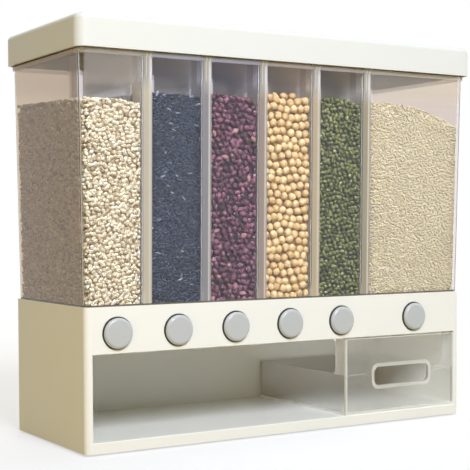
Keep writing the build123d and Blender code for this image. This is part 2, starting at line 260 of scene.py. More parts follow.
button_grey = (0.52, 0.54, 0.545, 1)
button_roughness = 0.22
# Painted shade: the colour and reach of the dark band that stands in for the gap's shadow round each cap.
gap_shade_grey = (0.10, 0.10, 0.095, 1)
gap_shade_depth, gap_shade_full = 0.0018, 0.6


def apart(tree, vector):
    """The three numbers of a vector."""
    split = tree.nodes.new("ShaderNodeSeparateXYZ")
    tree.links.new(vector, split.inputs["Vector"])
    return tuple(split.outputs)


button_plastic = moulded_plastic("button_plastic", button_grey, button_roughness, cloud=0.04, skin=0.08)
tree = button_plastic.node_tree
base_colour = tree.nodes["Principled BSDF"].inputs["Base Color"]
x, y, z = apart(tree, tree.nodes["Texture Coordinate"].outputs["Object"])
band_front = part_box("housing")[0].y
# Painted shade: the cap turns dark grey close to the band, where it enters its hole.
gap_shade = ramp(tree, y, band_front - gap_shade_depth, band_front - gap_shade_depth * gap_shade_full)
tree.links.new(blended(tree, gap_shade, base_colour.links[0].from_socket, gap_shade_grey), base_colour)
for number in buttons:
    dress(f"button_cap_{number}", button_plastic)

# Tank: one clear moulding with six compartments and hollow dividers, in hard polished styrene plastic. It is
# screwed to the tray from below. The rib round the rim is milky. The dividers' front edges carry painted
# light:
# milky strips in the colours of the grain seen in them, and thin painted highlight lines. The left, right and
# back walls carry painted shade tints, a milky sheet above the grain paints the grey shade of the headspace
# and pale bands beside the dividers, and a dark painted shade line runs where the tank meets the base.

clear_tint = lamp_share = (0.95, 0.95, 0.95, 1)
clear_roughness, clear_bend = 0.03, 1.49
ripple_scale, ripple_depth, tank_ripple = 22.0, 0.0006, 0.12
ripple_rough, ripple_smooth = 1.5, 0.5
first_divider = (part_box("grain_pearl_barley")[1].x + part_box("grain_black_rice")[0].x) / 2
divider_pitch = (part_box("grain_black_rice")[1].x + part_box("grain_red_beans")[0].x) / 2 - first_divider
last_divider = first_divider + 4 * divider_pitch
tank_low, tank_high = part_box("tank")
side_slope = 0.6
wall_band, face_depth = 0.012, 0.006
divider_half, solid_edge_depth = 0.0025, 0.026
edge_shift, edge_start, edge_full = 0.0005, 0.0022, 0.0008
# Painted light on the dividers' front edges, and painted highlight lines beside their middles.
edge_painted_light, head_edge_painted_light = 0.75, 0.40
line_place, line_half, line_full, line_painted_highlight = 0.0016, 0.0010, 0.3, 0.70
rib_low, rib_high, rib_milk = 0.3183, 0.3217, 0.34
# Painted shade and light above the grain: where the shading sheet starts, and its shares on the inner sides
# and the back.
shading_sheet_low, shading_sheet_high = 0.290, 0.304
side_shading_sheet, back_shading_sheet, wall_milk = 0.50, 0.12, 0.012
band_shading_sheet, band_depth, band_fade = 0.92, 0.0165, 0.001
# Painted shade line along the tank's foot: its height and share.
joint_height, joint_shade_share = 0.0014, 0.55
left_start = 0.011
right_low, right_high = 0.245, 0.272
right_near, right_far = 0.006, 0.015
# Painted shade: the colour of the dark line along the tank's foot.
joint_shade_tint = (0.20, 0.18, 0.15, 1)
# Painted shade tints for the left, right and back walls.
left_shade_tint = (0.66, 0.54, 0.39, 1)
right_shade_tint = (0.74, 0.64, 0.58, 1)
back_shade_tint = (0.84, 0.79, 0.82, 1)
line_highlight_tint = (0.72, 0.70, 0.66, 1)
# Painted shade: tints of the shading sheet on the front wall above the grain, one for each compartment.
shading_sheet_tints = [(0.80, 0.78, 0.77), (0.76, 0.79, 0.94), (0.77, 0.78, 0.95), (0.84, 0.77, 0.74),
              (0.83, 0.79, 0.79), (0.90, 0.85, 0.76)]
# Painted reflection: the colour of the grain seen in each divider's front edge.
painted_edge_tints = [(0.64, 0.58, 0.47), (0.34, 0.33, 0.36), (0.42, 0.345, 0.31), (0.60, 0.50, 0.35),
              (0.44, 0.39, 0.285)]
front_shading_sheets = (0.12, 0.035, 0.03, 0.05, 0.03, 0.12)
front_glint, side_glint, inner_glint = 0.25, 0.12, 1.0


def mixed(tree, share, first, second):
    """A surface that is the first where the share is nought and the second where it is one."""
    mix = tree.nodes.new("ShaderNodeMixShader")
    for socket, value in zip(mix.inputs, (share, first, second)):
        tree.links.new(value, socket)
    return mix.outputs["Shader"]


def clear_plastic(name, tint, roughness, lamp_tint, ripple, glint):
    """Clear plastic that bends light, with a slow ripple in its skin, and lets the lamps through."""
    finish, tree, shader, place = new_finish(name)
    shader.inputs["Base Color"].default_value = tint
    shader.inputs["IOR"].default_value = clear_bend
    shader.inputs["Transmission Weight"].default_value = 1.0
    shader.inputs["Specular Tint"].default_value = (glint, glint, glint, 1)
    waves = noise(tree, place, ripple_scale, 1.0)
    gloss = ramp(tree, waves, 0.0, 1.0, roughness * ripple_rough, roughness * ripple_smooth)
    tree.links.new(gloss, shader.inputs["Roughness"])
    roughen(tree, shader, waves, ripple, ripple_depth)
    through = tree.nodes.new("ShaderNodeBsdfTransparent")
    through.inputs["Color"].default_value = lamp_tint
    shadow_ray = tree.nodes.new("ShaderNodeLightPath").outputs["Is Shadow Ray"]
    tree.links.new(mixed(tree, shadow_ray, shader.outputs["BSDF"], through.outputs["BSDF"]),
                   tree.nodes["Material Output"].inputs["Surface"])
    return finish


def reckon(tree, operation, *values):
    """One step of reckoning on a surface: each value is a socket or a number."""
    step = tree.nodes.new("ShaderNodeMath")
    step.operation = operation
    for socket, value in zip(step.inputs, values):
        feed(tree, socket, value)
    return step.outputs["Value"]


def product(tree, result, *others):
    """All the values multiplied."""
    for value in others:
        result = reckon(tree, "MULTIPLY", result, value)
    return result


def most(tree, result, *others):
    """The greatest of the values."""
    for value in others:
        result = reckon(tree, "MAXIMUM", result, value)
    return result


def colour_band(tree, value, tones, between="LINEAR"):
    """A colour for each value from nought to one, by the tones' places along it."""
    band = tree.nodes.new("ShaderNodeValToRGB")
    band.color_ramp.interpolation = between
    stops = band.color_ramp.elements
    for stop, (position, colour) in ((stops[0], tones[0]), (stops[1], tones[-1])):
        stop.position, stop.color = position, (*colour, 1)
    for position, colour in tones[1:-1]:
        stops.new(position).color = (*colour, 1)
    tree.links.new(value, band.inputs["Fac"])
    return band.outputs["Color"]


def stepped_colours(tree, value, colours):
    """One colour after another, each over an equal part of the way from nought to one."""
    steps = [(k / len(colours), colour) for k, colour in enumerate(colours)]
    return colour_band(tree, value, steps, "CONSTANT")


tank_plastic = clear_plastic("clear_plastic", clear_tint, clear_roughness, lamp_share, tank_ripple,
                             front_glint)
tree = tank_plastic.node_tree
where = tree.nodes["Texture Coordinate"]
x, y, z = apart(tree, where.outputs["Object"])
facing_x = apart(tree, where.outputs["Normal"])[0]
sideways = reckon(tree, "GREATER_THAN", reckon(tree, "ABSOLUTE", facing_x), side_slope)

span_low, span_high = first_divider - divider_pitch / 2, last_divider + divider_pitch / 2
off_divider = reckon(tree, "WRAP", reckon(tree, "SUBTRACT", x, first_divider), divider_pitch / 2,
                     -divider_pitch / 2)
near_front = product(tree, reckon(tree, "LESS_THAN", x, span_high), reckon(tree, "GREATER_THAN", x, span_low),
                     reckon(tree, "LESS_THAN", y, tank_low.y + solid_edge_depth))
# Painted light: each divider's solid front edge is made milky and coloured like the grain seen in it, paler
# above the grain.
off_edge = reckon(tree, "ABSOLUTE", reckon(tree, "ADD", off_divider, edge_shift))
on_edge = product(tree, near_front, ramp(tree, off_edge, divider_half + edge_start, divider_half + edge_full))
head = ramp(tree, z, shading_sheet_low, shading_sheet_high)


def highlight_line_at(place):
    """A narrow upright line of painted highlight at a distance from each divider's middle."""
    off_line = reckon(tree, "ABSOLUTE", reckon(tree, "SUBTRACT", off_divider, place))
    return product(tree, near_front, ramp(tree, off_line, line_half, line_half * line_full))


# Painted highlights: thin pale milky lines beside each divider's middle; the second only above the grain.
highlight_lines = most(tree, highlight_line_at(line_place), product(tree, highlight_line_at(-line_place), head))
edge_painted_light_share = reckon(tree, "SUBTRACT", edge_painted_light, product(tree, head, edge_painted_light - head_edge_painted_light))
painted_edge_light = most(tree, product(tree, on_edge, edge_painted_light_share), product(tree, highlight_lines, line_painted_highlight))
milky_rib = product(tree, reckon(tree, "GREATER_THAN", z, rib_low), reckon(tree, "LESS_THAN", z, rib_high),
                    rib_milk)
at_side = reckon(tree, "GREATER_THAN", reckon(tree, "ABSOLUTE", x), tank_high.x - wall_band)
at_back = reckon(tree, "GREATER_THAN", y, tank_high.y - face_depth)
at_front = product(tree, reckon(tree, "LESS_THAN", y, tank_low.y + face_depth),
                   reckon(tree, "SUBTRACT", 1.0, sideways))
# Painted shade: a dark line along the tank's foot, where it meets the base.
at_joint = reckon(tree, "LESS_THAN", z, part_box("housing")[1].z + joint_height)
outer_side = product(tree, sideways, at_side)
inner_side = product(tree, sideways, reckon(tree, "SUBTRACT", 1.0, at_side))
# Painted shade: the left wall, the right wall above the grain and away from its front, and the back wall take
# shade tints.
on_left = product(tree, outer_side, reckon(tree, "LESS_THAN", x, 0.0),
                  reckon(tree, "GREATER_THAN", y, tank_low.y + left_start))
on_right = product(tree, outer_side, reckon(tree, "GREATER_THAN", x, 0.0),
                   most(tree, ramp(tree, z, right_low, right_high),
                        ramp(tree, y, tank_low.y + right_far, tank_low.y + right_near)))
# Painted light and shade above the grain: a milky sheet on the inner walls, densest as pale bands near the
# front, thinner on the back and front.
shading_sheet_behind = reckon(tree, "SUBTRACT", band_shading_sheet,
                     ramp(tree, y, tank_low.y + band_depth, tank_low.y + band_depth + band_fade,
                          band_shading_sheet - side_shading_sheet))
compartment = reckon(tree, "DIVIDE", reckon(tree, "SUBTRACT", x, first_divider - divider_pitch),
                     divider_pitch * 6)
shading_sheet_shares = stepped_colours(tree, compartment, [(share,) * 3 for share in front_shading_sheets])
front_shading_sheet = product(tree, at_front, shading_sheet_shares)
shading_sheet = most(tree, product(tree, inner_side, shading_sheet_behind), product(tree, at_back, back_shading_sheet))
shading_sheet = product(tree, reckon(tree, "ADD", shading_sheet, front_shading_sheet), head)
# The milky share: faint haze and the rim rib, with painted light on the divider edges, the painted shading
# sheet above the grain and the painted shade line at the foot.
haze_and_painted_light = most(tree, painted_edge_light, milky_rib, shading_sheet, wall_milk, product(tree, at_joint, joint_shade_share))
tank_shader = tree.nodes["Principled BSDF"]
tree.links.new(reckon(tree, "SUBTRACT", 1.0, haze_and_painted_light), tank_shader.inputs["Transmission Weight"])

share_along = reckon(tree, "DIVIDE", reckon(tree, "SUBTRACT", x, span_low), span_high - span_low)
# Painted reflection: the edges take the colour of the grain seen in each, and the pale line tint on the lines
# and above the grain.
painted_edge_colours = stepped_colours(tree, share_along, painted_edge_tints)
painted_edge_colours = blended(tree, most(tree, highlight_lines, head), painted_edge_colours, line_highlight_tint)
shading_sheet_colours = stepped_colours(tree, compartment, shading_sheet_tints)
colour = clear_tint
# Painted colours: shade tints on the back, left and right walls, the shading sheet's tints on the front above
# the grain, the grain's colours on the divider edges, and a dark painted shade line at the foot.
for share, tint in ((at_back, back_shade_tint), (on_left, left_shade_tint), (on_right, right_shade_tint),
                    (product(tree, at_front, head), shading_sheet_colours), (on_edge, painted_edge_colours),
                    (at_joint, joint_shade_tint)):
    colour = blended(tree, share, colour, tint)
tree.links.new(colour, tank_shader.inputs["Base Color"])
glint = (front_glint, front_glint, front_glint, 1)
for share, level in ((sideways, inner_glint), (outer_side, side_glint)):
    glint = blended(tree, share, glint, (level, level, level, 1))
tree.links.new(glint, tank_shader.inputs["Specular Tint"])
dress("tank", tank_plastic)

# Grain: loose dry grain that fills each compartment and its funnel down to the gate.
# Single grains lie against the clear walls and on top of the heap, over a bed of the grains behind them.

base_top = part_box("housing")[1].z
pocket_round, hopper_round = 0.0047, 0.0004
level_half, level_gap, top_half = 0.0006, 0.0005, 0.002
ring_points, wall_rings, top_rings = 64, 24, 16
back_rise, level_place = 0.005, 0.1
corner_fall, corner_start = 0.004, 0.6
swell_turns, swell_phase, swell_share = (130, 95), 1.7, 0.6
just_under, just_over = 0.0002, 0.0001
bed_inset, last_ring = 0.75, 0.04
row_lean, column_lean = 0.53, 1.21
row_drift, column_drift, drift_share = 1.37, 0.71, 0.8
first_row, least_sunk, least_corner = 0.4, 0.52, 0.0012
under_top, top_jitter, top_sunk, top_sunk_spread = 0.2, 0.15, 0.1, 0.5
widest_spread = 2.5


def levels_of(node):
    """Reads a heap's outline from its solid: for each level a height and its left, right, front and back, and
    the heights of the top at its left, middle and right."""
    points = np.empty(len(nodes[node].data.vertices) * 3, np.float32)
    nodes[node].data.vertices.foreach_get("co", points)
    points = points.reshape(-1, 3).astype(float)

    def sides(choice):
        chosen = points[choice]
        return [chosen[:, 0].min(), chosen[:, 0].max(), chosen[:, 1].min(), chosen[:, 1].max()]

    heights = np.unique(points[:, 2].round(4))
    funnel = heights[heights < base_top - just_under]
    funnel = [z for z, gap in zip(funnel, np.diff(funnel, append=base_top)) if gap > level_gap]
    hopper = [[z, *sides(np.abs(points[:, 2] - z) < level_half)] for z in funnel]
    bottom = [base_top + just_over, *sides(np.abs(points[:, 2] - base_top) < level_half)]
    x0, x1 = points[:, 0].min(), points[:, 0].max()
    high = points[points[:, 2] > (base_top + points[:, 2].max()) / 2]
    left, middle, right = [high[np.abs(high[:, 0] - x) < top_half, 2] for x in (x0, (x0 + x1) / 2, x1)]
    tops = [left.max(), middle.max() if len(middle) else (left.max() + right.max()) / 2, right.max()]
    top = [max(tops), x0, x1, points[:, 1].min(), points[:, 1].max()]
    return hopper, bottom, top, tops


def rounded_ring(share, x0, x1, y0, y1, corner):
    """A point on a rectangle with rounded corners and the outward direction there, for each share of the way
    round: four straight sides joined by quarter circles, walked back along the right side first."""
    a, b = (x1 - x0) / 2 - corner, (y1 - y0) / 2 - corner
    arc = np.broadcast_to(corner * math.pi / 2, np.shape(a))
    lengths = [2 * b, arc, 2 * a, arc, 2 * b, arc, 2 * a, arc]
    ends = np.cumsum(np.stack([np.broadcast_to(part, share.shape) for part in lengths]), axis=0)
    walk = share * ends[-1]
    side = (walk[None] >= ends).sum(axis=0).clip(0, 7)
    before = np.where(side > 0, np.take_along_axis(ends, np.maximum(side - 1, 0)[None], 0)[0], 0)
    part = walk - before
    quarter = side // 2
    on_arc = side % 2 == 1
    angle = quarter * math.pi / 2 + np.where(on_arc, part / corner, 0.0)
    nx, ny = np.cos(angle), np.sin(angle)
    corner_x = np.choose(quarter, [a, -a, -a, a])
    corner_y = np.choose(quarter, [b, b, -b, -b])
    start_x = np.choose(quarter, [a + corner, a, -a - corner, -a])
    start_y = np.choose(quarter, [-b, b + corner, b, -b - corner])
    along_x, along_y = -np.sin(quarter * math.pi / 2), np.cos(quarter * math.pi / 2)
    x = np.where(on_arc, corner_x + corner * nx, start_x + along_x * part)
    y = np.where(on_arc, corner_y + corner * ny, start_y + along_y * part)
    return (x0 + x1) / 2 + x, (y0 + y1) / 2 + y, nx, ny


def heap_height(x, y, top, tops, swell, seed):
    """The heap's surface: straight between its levels at the left, middle and right, a little higher at the
    back where it was poured, lower at its right front corner, with slow swells."""
    x0, x1, y0, y1 = top[1:]
    height = np.interp(x, [x0, (x0 + x1) / 2, x1], tops)
    backward = (y - y0) / (y1 - y0)
    height = height + back_rise * (backward - level_place)
    rightward = ((x - x0) / (x1 - x0) - corner_start).clip(0, 1 - corner_start) / (1 - corner_start)
    height = height - corner_fall * (1 - backward).clip(0, 1) * rightward
    phase = seed * swell_phase
    waves = np.sin(x * swell_turns[0] + phase) * np.sin(y * swell_turns[1] + phase * 2)
    return height - swell + swell * swell_share * waves


def side_lines(z, bottom, top):
    """Left, right, front and back of the compartment at height z, on straight lines from bottom to top."""
    share = (z - bottom[0]) / (top[0] - bottom[0])
    return [low + (high - low) * share for low, high in zip(bottom[1:], top[1:])]


def bed(levels, inset, swell, seed):
    """The closed form behind the single grains: rings of points from the gate up to the heap's top, drawn in
    from the tank's walls, and closed by a fan below and by shrinking rings and a fan above."""
    hopper, bottom, top, tops = levels
    share = (np.arange(ring_points) + 0.5) / ring_points
    rings = []
    for z, *sides in hopper:
        x, y, _, _ = rounded_ring(share, *sides, hopper_round)
        rings.append(np.stack([x, y, np.full_like(x, z)], -1))
    heights = np.linspace(bottom[0], min(tops) - 3 * swell - inset, wall_rings)
    for z in heights:
        x0, x1, y0, y1 = side_lines(z, bottom, top)
        x, y, _, _ = rounded_ring(share, x0 + inset, x1 - inset, y0 + inset, y1 - inset,
                                  pocket_round - inset / 2)
        rings.append(np.stack([x, y, np.full_like(x, z)], -1))
    x0, x1, y0, y1 = side_lines(top[0], bottom, top)
    rim_x, rim_y = rings[-1][:, 0], rings[-1][:, 1]
    centre_x, centre_y = (x0 + x1) / 2, (y0 + y1) / 2
    for shrink in np.linspace(1.0, last_ring, top_rings):
        x, y = centre_x + (rim_x - centre_x) * shrink, centre_y + (rim_y - centre_y) * shrink
        rings.append(np.stack([x, y, heap_height(x, y, top, tops, swell, seed) - inset], -1))
    points = np.concatenate(rings)
    faces = [grid_faces(len(rings), ring_points)]
    faces.append(cap_faces(0, ring_points, False))
    faces.append(cap_faces((len(rings) - 1) * ring_points, ring_points, True))
    return points, np.concatenate(faces)


def ball_grid(rings, sides):
    """A closed ball of unit radius, in rings of points between two poles on X, the way a grain is long."""
    polar = np.linspace(0, math.pi, rings + 2)[1:-1]
    around = np.linspace(0, 2 * math.pi, sides, endpoint=False)
    turn = around[None, :] + (np.arange(rings)[:, None] % 2) * math.pi / sides
    x = np.broadcast_to(np.cos(polar)[:, None], turn.shape)
    y, z = np.sin(polar)[:, None] * np.cos(turn), np.sin(polar)[:, None] * np.sin(turn)
    points = np.concatenate([[[1.0, 0, 0]], np.stack([x, y, z], -1).reshape(-1, 3), [[-1.0, 0, 0]]])
    middle = grid_faces(rings, sides)[:, ::-1] + 1
    first = 1 + np.arange(sides)
    start = np.stack([np.zeros(sides, int), first, 1 + (np.arange(sides) + 1) % sides], -1)
    last = 1 + (rings - 1) * sides
    end = np.stack([np.full(sides, len(points) - 1), last + (np.arange(sides) + 1) % sides,
                    last + np.arange(sides)], -1)
    return points, np.concatenate([start, middle, end])


def lie_of_grains(levels, size, pitch, row_gap, swell, seed, jitter, depth, wave, draw):
    """Places of the single grains, each with its outward direction: staggered rows on the walls all round
    and on the heap's top, moved about a little by chance."""
    _, bottom, top, tops = levels
    x0, x1, y0, y1 = top[1:]
    round_length = 2 * (x1 - x0) + 2 * (y1 - y0) - (8 - 2 * math.pi) * pocket_round
    columns = int(round_length / pitch)
    rows = int((max(tops) - bottom[0]) / row_gap)
    row, column = np.meshgrid(np.arange(rows), np.arange(columns), indexing="ij")
    share = ((column + 0.5 * (row % 2)) / columns + draw.normal(0, jitter, row.shape) / columns) % 1.0
    z = bottom[0] + (row + first_row + draw.normal(0, jitter, row.shape)) * row_gap
    z = z + wave * row_gap * np.sin(column * column_lean + row * row_lean + seed)
    drift = np.sin(row * row_drift + column * column_drift + 2 * seed)
    share = (share + drift_share * wave / columns * drift) % 1.0
    share, z = share.ravel(), z.ravel()
    sink = size[2] * (least_sunk + depth * draw.random(share.shape) ** 2)
    sides = side_lines(z, bottom, top)
    x, y, nx, ny = rounded_ring(share, sides[0] + sink, sides[1] - sink, sides[2] + sink, sides[3] - sink,
                                np.maximum(pocket_round - sink, least_corner))
    keep = z < heap_height(x, y, top, tops, swell, seed) - size[2] * under_top
    wall = np.stack([x, y, z], -1)[keep]
    wall_out = np.stack([nx, ny, np.zeros_like(nx)], -1)[keep]
    across = int((x1 - x0 - size[1]) / pitch)
    deep = int((y1 - y0 - size[1]) / row_gap)
    i, j = np.meshgrid(np.arange(across), np.arange(deep), indexing="ij")
    u = (i + 0.5 + 0.5 * (j % 2 - 0.5) + draw.normal(0, top_jitter, i.shape)) / across
    v = (j + 0.5 + draw.normal(0, top_jitter, i.shape)) / deep
    x = (x0 + size[1] / 2 + (x1 - x0 - size[1]) * u.clip(0.01, 0.99)).ravel()
    y = (y0 + size[1] / 2 + (y1 - y0 - size[1]) * v.clip(0.01, 0.99)).ravel()
    sink = size[2] * (top_sunk + top_sunk_spread * draw.random(x.shape))
    z = heap_height(x, y, top, tops, swell, seed) - sink
    heap = np.stack([x, y, z], -1)
    heap_out = np.tile([0.0, 0.0, 1.0], (len(heap), 1))
    return np.concatenate([wall, heap]), np.concatenate([wall_out, heap_out])


def single_grains(places, outward, size, vary, lean, lumps, shape, lie, draw):
    """All grains at once: the ball stretched to each grain's own length, width and thickness, roughened by
    chance, turned to lie flat against the wall, the long ones more or less level, and moved to its place."""
    ball, faces = shape
    count = len(places)
    up = np.where(np.abs(outward[:, 2:3]) > 0.5, [[0.0, 1.0, 0.0]], [[0.0, 0.0, 1.0]])
    across = np.cross(up, outward)
    turn = (draw.random(count) - 0.5)[:, None] * math.pi
    turn = turn if lie is None else draw.normal(0, lie, (count, 1))
    long_axis = np.cos(turn) * across + np.sin(turn) * up + outward * draw.normal(0, lean, (count, 1))
    long_axis /= np.linalg.norm(long_axis, axis=1, keepdims=True)
    flat_axis = outward - (outward * long_axis).sum(1, keepdims=True) * long_axis
    flat_axis /= np.linalg.norm(flat_axis, axis=1, keepdims=True)
    wide_axis = np.cross(flat_axis, long_axis)
    spread = draw.normal(0, vary, (count, 3)).clip(-widest_spread * vary, widest_spread * vary)
    sizes = np.array(size) / 2 * (1 + spread)
    axes = np.stack([long_axis, wide_axis, flat_axis], 1) * sizes[:, :, None]
    bodies = ball[None] * (1 + draw.normal(0, lumps, (count, len(ball), 1)))
    points = places[:, None] + np.einsum("gvk,gkc->gvc", bodies, axes)
    all_faces = faces[None] + (np.arange(count) * len(ball))[:, None, None]
    on_skin = np.broadcast_to(ball[None], points.shape)
    tone = np.repeat(draw.random(count), len(ball))
    return points.reshape(-1, 3), all_faces.reshape(-1, 3), on_skin.reshape(-1, 3), tone


grain_glow_depth = 0.0016
grain_glow_colours = (1.0, 0.85, 0.6)
pale_speckle, crease_full, skin_relief = 0.4, 0.3, 0.0003
bed_roughness, bed_bump, bed_relief = 0.8, 0.9, 0.4
# Where the bed's cells turn from pale to the painted shade between grains.
cell_pale, cell_shade = 0.15, 0.62


def grain_finish(name, tones, roughness, speckle, rough_skin=0.25, eye=None, crease=None, fine=1400.0,
                 glow=0.0):
    """Skin of single grains: each grain's own tone picks its colour from a band of colours, fine noise
    mottles it, and an eye marks one side where a seed was joined to its pod, or a dark crease runs along a
    kernel."""
    finish, tree, shader, place = new_finish(name)
    shader.inputs["Subsurface Weight"].default_value = glow
    shader.inputs["Subsurface Scale"].default_value = grain_glow_depth
    shader.inputs["Subsurface Radius"].default_value = grain_glow_colours
    tone = tree.nodes.new("ShaderNodeAttribute")
    tone.attribute_name = "tone"
    band = colour_band(tree, tone.outputs["Fac"], tones)
    mottle = noise(tree, place, fine, 3.0)
    shade = ramp(tree, mottle, noise_low, noise_high, 1 + speckle * pale_speckle, 1 - speckle)
    colour = blended(tree, 1.0, band, shade, "MULTIPLY")
    if eye or crease:
        where = tree.nodes.new("ShaderNodeAttribute")
        where.attribute_name = "on_skin"
        across = apart(tree, where.outputs["Vector"])[1]
    if eye:
        colour = blended(tree, ramp(tree, across, eye[0], 1.0), colour, (*eye[1], 1))
    if crease:
        mark = ramp(tree, reckon(tree, "ABSOLUTE", across), crease[0], crease[0] * crease_full)
        colour = blended(tree, mark, colour, (*crease[1], 1))
    tree.links.new(colour, shader.inputs["Base Color"])
    gloss = ramp(tree, mottle, 0.0, 1.0, roughness + gloss_rise, roughness - gloss_fall)
    tree.links.new(gloss, shader.inputs["Roughness"])
    roughen(tree, shader, mottle, rough_skin, skin_relief)
    return finish


def bed_finish(name, deep, pale, grain_size):
    """The grains further in: cells as large as the grains, pale in their middles and dark between them, the
    dark being painted shade in the gaps between grains.
    """
    finish, tree, shader, place = new_finish(name)
    shader.inputs["Roughness"].default_value = bed_roughness
    cells = tree.nodes.new("ShaderNodeTexVoronoi")
    cells.inputs["Scale"].default_value = 1 / grain_size
    tree.links.new(place, cells.inputs["Vector"])
    from_middle = cells.outputs["Distance"]
    tree.links.new(colour_band(tree, from_middle, [(cell_pale, pale), (cell_shade, deep)]),
                   shader.inputs["Base Color"])
    roughen(tree, shader, from_middle, bed_bump, grain_size * bed_relief, sunk=True)
    return finish


def fill_compartment(kind, seed, size, pitch, row_gap, shape, skin, behind, vary=0.10, lean=0.25, lumps=0.03,
                     swell=0.001, lie=None, jitter=0.16, depth=0.5, wave=0.35):
    """Puts one kind of grain into its compartment, in place of its plain solid."""
    draw = np.random.default_rng(seed)
    levels = levels_of(f"grain_{kind}")
    bed_points, bed_faces = bed(levels, size[2] * bed_inset, swell, seed)
    places, outward = lie_of_grains(levels, size, pitch, row_gap, swell, seed, jitter, depth, wave, draw)
    points, faces, on_skin, tone = single_grains(places, outward, size, vary, lean, lumps, shape, lie, draw)
    all_points = np.concatenate([bed_points, points])
    all_faces = np.concatenate([bed_faces, faces + len(bed_points)])
    which = np.concatenate([np.ones(len(bed_faces)), np.zeros(len(faces))])
    piece = mesh_piece(f"{kind}_heap", all_points, all_faces, [skin, behind], which)
    blank = np.zeros(len(bed_points))
    tones = piece.data.attributes.new("tone", "FLOAT", "POINT")
    tones.data.foreach_set("value", np.concatenate([blank, tone]).astype(np.float32))
    spots = piece.data.attributes.new("on_skin", "FLOAT_VECTOR", "POINT")
    skins = np.concatenate([np.zeros_like(bed_points), on_skin])
    spots.data.foreach_set("vector", skins.astype(np.float32).ravel())
    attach(piece, "base_assembly")
    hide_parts(f"grain_{kind}")


# Pearl barley: polished kernels, 3 to 4 mm, cream with a brown crease along each and a few dark ones.
# It lies loose in the first compartment.
fill_compartment(
    "pearl_barley", 11, size=(0.0041, 0.0036, 0.0030), pitch=0.0037, row_gap=0.0031, shape=ball_grid(3, 5),
    skin=grain_finish("pearl_barley", [(0.0, (0.30, 0.21, 0.11)), (0.12, (0.55, 0.44, 0.28)),
                                       (0.3, (0.68, 0.58, 0.39)), (0.7, (0.75, 0.67, 0.48)),
                                       (1.0, (0.82, 0.76, 0.60))], 0.80, 0.15, rough_skin=0.12,
                      crease=(0.22, (0.36, 0.26, 0.14))),
    behind=bed_finish("pearl_barley_bed", (0.22, 0.155, 0.08), (0.54, 0.43, 0.26), 0.0034),
    vary=0.11, lumps=0.04, depth=0.30)

# Black rice: slender blue-black grains, 5 to 6 mm, with a few broken pale ones that also serve as painted
# glints.
# It lies loose in the second compartment.
fill_compartment(
    "black_rice", 12, size=(0.0052, 0.0020, 0.0018), pitch=0.0035, row_gap=0.0020, shape=ball_grid(2, 4),
    skin=grain_finish("black_rice", [(0.0, (0.008, 0.013, 0.030)), (0.6, (0.024, 0.036, 0.070)),
                                     (0.965, (0.060, 0.082, 0.13)), (1.0, (0.42, 0.45, 0.50))], 0.28, 0.4),
    behind=bed_finish("black_rice_bed", (0.003, 0.005, 0.010), (0.024, 0.034, 0.060), 0.0026),
    vary=0.12, lumps=0.05, lie=0.55)

# Red beans: small oval beans, dark red and glossy, 5 to 6 mm, each with a pale eye.
# They lie loose in the third compartment.
fill_compartment(
    "red_beans", 13, size=(0.0063, 0.0046, 0.0044), pitch=0.0059, row_gap=0.0048, shape=ball_grid(4, 7),
    skin=grain_finish("red_beans", [(0.0, (0.050, 0.012, 0.028)), (0.5, (0.110, 0.030, 0.055)),
                                    (0.95, (0.20, 0.070, 0.105)), (1.0, (0.36, 0.17, 0.17))], 0.10, 0.12,
                      rough_skin=0.02, eye=(0.84, (0.90, 0.80, 0.82))),
    behind=bed_finish("red_beans_bed", (0.008, 0.003, 0.006), (0.05, 0.016, 0.026), 0.0048),
    lean=0.10, jitter=0.11, depth=0.16, wave=0.22, lumps=0.012)

# Soybeans: round beans, warm cream and matt, 7 to 8 mm, each with a small brown eye.
# They lie loose in the fourth compartment.
fill_compartment(
    "soybeans", 14, size=(0.0073, 0.0070, 0.0068), pitch=0.0078, row_gap=0.00675, shape=ball_grid(6, 10),
    skin=grain_finish("soybeans", [(0.0, (0.50, 0.32, 0.130)), (0.4, (0.57, 0.385, 0.170)),
                                   (1.0, (0.64, 0.46, 0.230))], 0.55, 0.06, rough_skin=0.03,
                      eye=(0.95, (0.42, 0.26, 0.12)), fine=500.0, glow=0.25),
    behind=bed_finish("soybeans_bed", (0.22, 0.125, 0.045), (0.44, 0.28, 0.11), 0.0074),
    vary=0.03, lumps=0.003, jitter=0.06, depth=0.10, lean=0.1, wave=0.20)

# Mung beans: small green beans, a little glossy, about 4 mm.
# They lie loose in the fifth compartment.
fill_compartment(
    "mung_beans", 15, size=(0.0043, 0.0037, 0.0036), pitch=0.0044, row_gap=0.00375, shape=ball_grid(3, 7),
    skin=grain_finish("mung_beans", [(0.0, (0.058, 0.068, 0.016)), (0.5, (0.115, 0.128, 0.032)),
                                     (0.93, (0.18, 0.18, 0.056)), (1.0, (0.28, 0.26, 0.11))], 0.18, 0.15,
                      rough_skin=0.03),
    behind=bed_finish("mung_beans_bed", (0.006, 0.008, 0.003), (0.04, 0.045, 0.014), 0.004),
    jitter=0.12, depth=0.15, lean=0.10, wave=0.28, lumps=0.015)

# White rice: slender polished grains, 5 to 6 mm, pale beige, that let a little light into them.
# It lies loose in the wide sixth compartment.
fill_compartment(
    "white_rice", 16, size=(0.0055, 0.0022, 0.0015), pitch=0.0039, row_gap=0.0021, shape=ball_grid(2, 4),
    skin=grain_finish("white_rice", [(0.0, (0.47, 0.375, 0.215)), (0.4, (0.53, 0.435, 0.265)),
                                     (1.0, (0.58, 0.485, 0.315))], 0.60, 0.04, rough_skin=0.05, glow=0.7),
    behind=bed_finish("white_rice_bed", (0.53, 0.43, 0.26), (0.60, 0.50, 0.32), 0.0026),
    vary=0.12, lumps=0.04, lie=0.6, depth=0.12, lean=0.08)

# Lid seal: a flat ring of grey silicone rubber, as wide as the tank's walls, glued under the lid's top.
# It presses on the tank's rim and keeps damp out of the grain.

